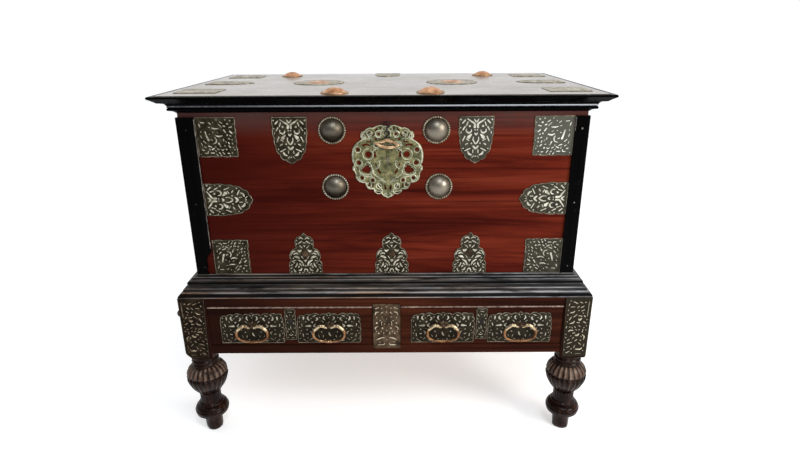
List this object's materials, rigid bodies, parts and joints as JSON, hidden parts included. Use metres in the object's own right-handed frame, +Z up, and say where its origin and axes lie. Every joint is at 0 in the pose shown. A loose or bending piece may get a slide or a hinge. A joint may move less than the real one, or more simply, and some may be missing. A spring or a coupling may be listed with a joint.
{
  "type": "dowry chest on stand",
  "caption": "Dark wood dowry chest with hinged lid, ebony corners and pierced brass mounts, on a stand with two drawers and turned feet.",
  "frame": {"origin": "on the floor, under the middle of the object", "axes": "+X to the right along the front, +Y to the back, +Z up; the front faces -Y"},
  "size_m": [1.3083, 0.8404, 1.125],
  "materials": {
    "rosewood": "polished dark red-brown",
    "lid_wood": "polished red-brown, worn",
    "stand_wood": "polished very dark red-brown",
    "leg_wood": "waxed, very dark brown, worn edges",
    "ebony": "polished near-black",
    "moulding_wood": "waxed dark brown-black",
    "inner_wood": "plain, unpolished",
    "brass_dark": "old dark brass, rubbed bright on raised lines",
    "brass_green": "greenish old brass",
    "brass_boss": "bronze-coloured, rubbed",
    "brass_lid": "coppery, rubbed",
    "brass_bail": "copper-gold, polished by use",
    "iron": "dark wrought iron"
  },
  "bodies": {
    "chest_and_stand": {"leg_front_left": "leg_wood", "leg_front_right": "leg_wood", "leg_back_left": "leg_wood", "leg_back_right": "leg_wood", "stand_top_rail": "stand_wood", "stand_bottom_rail": "stand_wood", "drawer_divider": "stand_wood", "stand_side_left": "stand_wood", "stand_side_right": "stand_wood", "stand_back_panel": "inner_wood", "drawer_runners": "inner_wood", "stand_moulding": "moulding_wood", "stand_corner_mounts": "brass_dark", "stand_centre_mount": "brass_dark", "chest_front": "rosewood", "chest_back": "rosewood", "chest_side_left": "rosewood", "chest_side_right": "rosewood", "chest_bottom": "inner_wood", "corner_strips_front": "ebony", "corner_strips_back": "ebony", "base_moulding": "ebony", "strip_pins": "brass_dark", "front_corner_plates": "brass_dark", "front_top_tongues": "brass_dark", "front_side_tongues": "brass_dark", "front_bottom_tongues": "brass_dark", "front_bosses": "brass_boss", "escutcheon": "brass_green", "lock_case": "iron", "iron_staples": "iron", "side_handle_mounts": "brass_bail", "chest_hinge_leaves": "iron"},
    "lid": {"lid_panel": "lid_wood", "lid_moulding_front": "ebony", "lid_moulding_sides": "ebony", "lid_corner_plates": "brass_lid", "lid_tongues": "brass_lid", "lid_rosettes": "brass_lid", "lid_bosses": "brass_lid", "lid_hinge_leaves": "iron", "lid_lock_staple": "iron"},
    "drawer_left": {"drawer_left_front": "stand_wood", "drawer_left_box": "inner_wood", "drawer_left_mounts": "brass_dark", "drawer_left_bail_posts": "brass_bail"},
    "bail_left_outer": {"drawer_left_bail_outer": "brass_bail"},
    "bail_left_inner": {"drawer_left_bail_inner": "brass_bail"},
    "drawer_right": {"drawer_right_front": "stand_wood", "drawer_right_box": "inner_wood", "drawer_right_mounts": "brass_dark", "drawer_right_bail_posts": "brass_bail"},
    "bail_right_outer": {"drawer_right_bail_outer": "brass_bail"},
    "bail_right_inner": {"drawer_right_bail_inner": "brass_bail"},
    "handle_left": {"side_handle_left": "brass_bail"},
    "handle_right": {"side_handle_right": "brass_bail"},
    "pull": {"pull_handle": "brass_bail"},
    "bolt": {"lock_bolt": "iron"}
  },
  "joints": [
    {"name": "lid_hinge", "type": "hinge", "parent": "chest_and_stand", "child": "lid", "pos_m": [0, 0.401, 1.076], "axis": [-1, 0, 0], "range_deg": [0, 100]},
    {"name": "drawer_left_slide", "type": "slide", "parent": "chest_and_stand", "child": "drawer_left", "axis": [0, -1, 0], "range_m": [0, 0.45]},
    {"name": "bail_left_outer_swing", "type": "hinge", "parent": "drawer_left", "child": "bail_left_outer", "pos_m": [-0.4125, -0.405, 0.411], "axis": [-1, 0, 0], "range_deg": [0, 85]},
    {"name": "bail_left_inner_swing", "type": "hinge", "parent": "drawer_left", "child": "bail_left_inner", "pos_m": [-0.1745, -0.405, 0.411], "axis": [-1, 0, 0], "range_deg": [0, 85]},
    {"name": "drawer_right_slide", "type": "slide", "parent": "chest_and_stand", "child": "drawer_right", "axis": [0, -1, 0], "range_m": [0, 0.45]},
    {"name": "bail_right_outer_swing", "type": "hinge", "parent": "drawer_right", "child": "bail_right_outer", "pos_m": [0.4165, -0.405, 0.411], "axis": [-1, 0, 0], "range_deg": [0, 85]},
    {"name": "bail_right_inner_swing", "type": "hinge", "parent": "drawer_right", "child": "bail_right_inner", "pos_m": [0.1785, -0.405, 0.411], "axis": [-1, 0, 0], "range_deg": [0, 85]},
    {"name": "handle_left_swing", "type": "hinge", "parent": "chest_and_stand", "child": "handle_left", "pos_m": [-0.5934, 0, 0.8], "axis": [0, 1, 0], "range_deg": [0, 85]},
    {"name": "handle_right_swing", "type": "hinge", "parent": "chest_and_stand", "child": "handle_right", "pos_m": [0.5934, 0, 0.8], "axis": [0, -1, 0], "range_deg": [0, 85]},
    {"name": "pull_swing", "type": "hinge", "parent": "chest_and_stand", "child": "pull", "pos_m": [0.012, -0.3505, 0.984], "axis": [-1, 0, 0], "range_deg": [0, 80]},
    {"name": "bolt_slide", "type": "slide", "parent": "chest_and_stand", "child": "bolt", "axis": [1, 0, 0], "range_m": [0, 0.012]}
  ]
}
